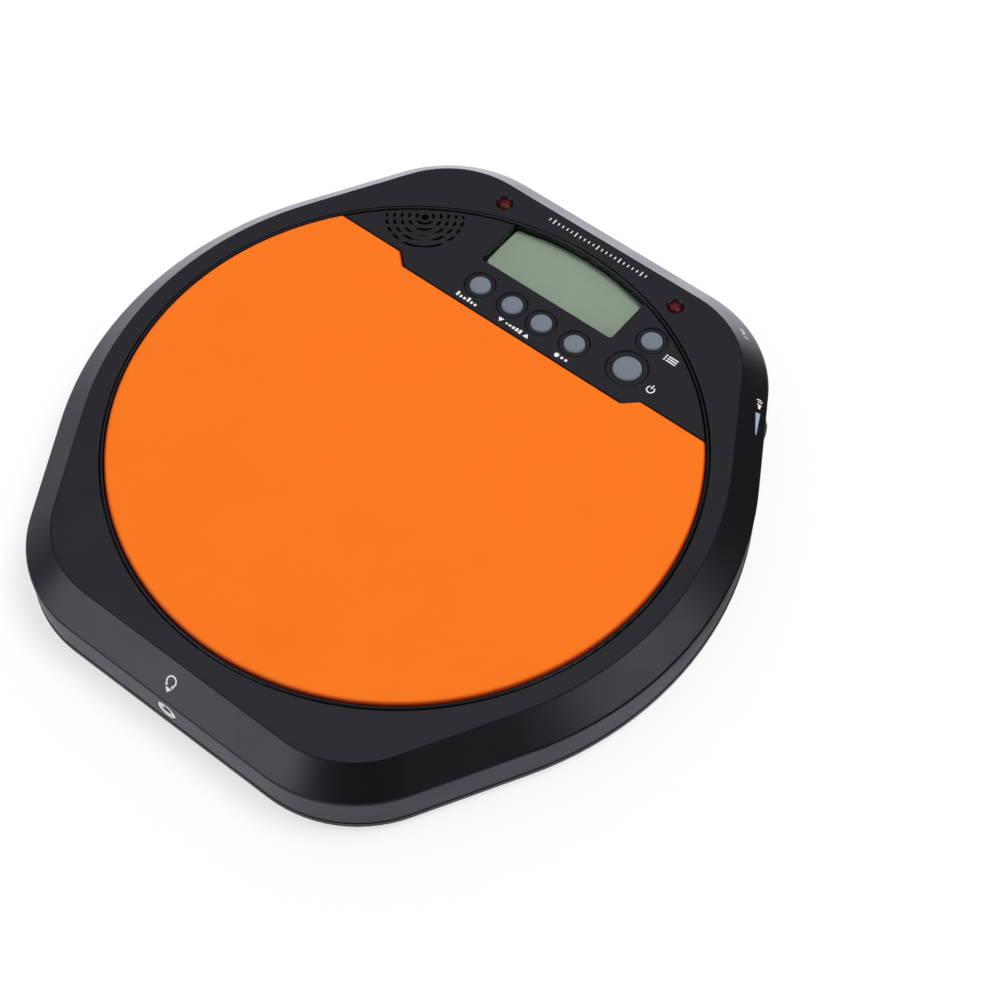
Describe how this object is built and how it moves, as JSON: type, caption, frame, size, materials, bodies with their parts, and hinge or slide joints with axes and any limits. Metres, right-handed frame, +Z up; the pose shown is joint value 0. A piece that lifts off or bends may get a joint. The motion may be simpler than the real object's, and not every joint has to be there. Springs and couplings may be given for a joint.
{
  "type": "electronic drum practice pad",
  "caption": "Low six-sided electronic drum practice pad with a round orange rubber playing surface, bevelled black case and a rear control panel with display, keys, lamps and speaker.",
  "frame": {"origin": "below the middle of the round playing surface, on the plane that the feet stand on", "axes": "+X to the player's right, +Y from the player towards the control panel, +Z up"},
  "size_m": [0.24, 0.2422, 0.03],
  "materials": {
    "case_plastic": "satin moulded",
    "panel_plastic": "satin moulded",
    "pad_rubber": "matte",
    "steel": "zinc plated",
    "foam": "closed-cell foam",
    "brass": "plain",
    "ceramic": "silvered",
    "clear_plastic": "clear",
    "display": "green-grey liquid crystal display",
    "black_part": "moulded",
    "black_rubber": "matte",
    "board": "green solder mask",
    "capacitor": "sleeved",
    "nickel": "nickel plated",
    "key": "matte grey",
    "silicone": "translucent grey",
    "lamp": "translucent red",
    "paper": "coated paper",
    "ferrite": "ferrite",
    "bright_ring": "satin nickel",
    "cell": "plain sleeve",
    "screw": "zinc plated"
  },
  "bodies": {
    "case": {"battery_cells": "cell", "battery_plates": "nickel", "battery_springs": "nickel", "board_capacitors": "capacitor", "board_crystal": "nickel", "board_screws": "screw", "bottom_shell": "case_plastic", "case_screws": "screw", "control_panel": "panel_plastic", "controller_chip": "black_part", "dc_board": "board", "dc_jack": "black_part", "dc_pin": "nickel", "drum_pad": "pad_rubber", "headphone_board": "board", "headphone_jack": "black_part", "headphone_ring": "bright_ring", "key_mat": "silicone", "lcd_connectors": "black_rubber", "lcd_frame": "black_part", "lcd_glass": "display", "lcd_window": "clear_plastic", "led_left": "lamp", "led_legs": "nickel", "led_right": "lamp", "main_board": "board", "pad_foam": "foam", "piezo_ceramic": "ceramic", "piezo_disc": "brass", "rubber_feet": "black_rubber", "small_board_screws": "screw", "speaker_basket": "steel", "speaker_cone": "paper", "speaker_gasket": "foam", "speaker_magnet": "ferrite", "strike_plate": "steel", "top_shell": "case_plastic", "trim_ring": "panel_plastic", "volume_board": "board", "volume_pot": "black_part"},
    "volume_wheel": {"volume_wheel": "black_part", "volume_shaft": "nickel"},
    "battery_door": {"battery_door": "case_plastic"},
    "key_beat": {"key_beat": "key"},
    "key_mode": {"key_mode": "key"},
    "key_power": {"key_power": "key"},
    "key_rhythm": {"key_rhythm": "key"},
    "key_tempo_down": {"key_tempo_down": "key"},
    "key_tempo_up": {"key_tempo_up": "key"}
  },
  "joints": [
    {"name": "key_beat_press", "type": "slide", "parent": "case", "child": "key_beat", "axis": [0, 0, -1], "range_m": [0, 0.0008], "stiffness_N_per_m": 800, "springref_m": -0.0004},
    {"name": "key_mode_press", "type": "slide", "parent": "case", "child": "key_mode", "axis": [0, 0, -1], "range_m": [0, 0.0008], "stiffness_N_per_m": 800, "springref_m": -0.0004},
    {"name": "key_power_press", "type": "slide", "parent": "case", "child": "key_power", "axis": [0, 0, -1], "range_m": [0, 0.0008], "stiffness_N_per_m": 800, "springref_m": -0.0004},
    {"name": "key_rhythm_press", "type": "slide", "parent": "case", "child": "key_rhythm", "axis": [0, 0, -1], "range_m": [0, 0.0008], "stiffness_N_per_m": 800, "springref_m": -0.0004},
    {"name": "key_tempo_down_press", "type": "slide", "parent": "case", "child": "key_tempo_down", "axis": [0, 0, -1], "range_m": [0, 0.0008], "stiffness_N_per_m": 800, "springref_m": -0.0004},
    {"name": "key_tempo_up_press", "type": "slide", "parent": "case", "child": "key_tempo_up", "axis": [0, 0, -1], "range_m": [0, 0.0008], "stiffness_N_per_m": 800, "springref_m": -0.0004},
    {"name": "volume_turn", "type": "hinge", "parent": "case", "child": "volume_wheel", "pos_m": [0.08295, 0.08323, 0.01565], "axis": [0, 0, 1], "range_deg": [-135, 135]},
    {"name": "battery_door_swing", "type": "hinge", "parent": "case", "child": "battery_door", "pos_m": [0, -0.0472, 0.0025], "axis": [-1, 0, 0], "range_deg": [0, 75]}
  ]
}
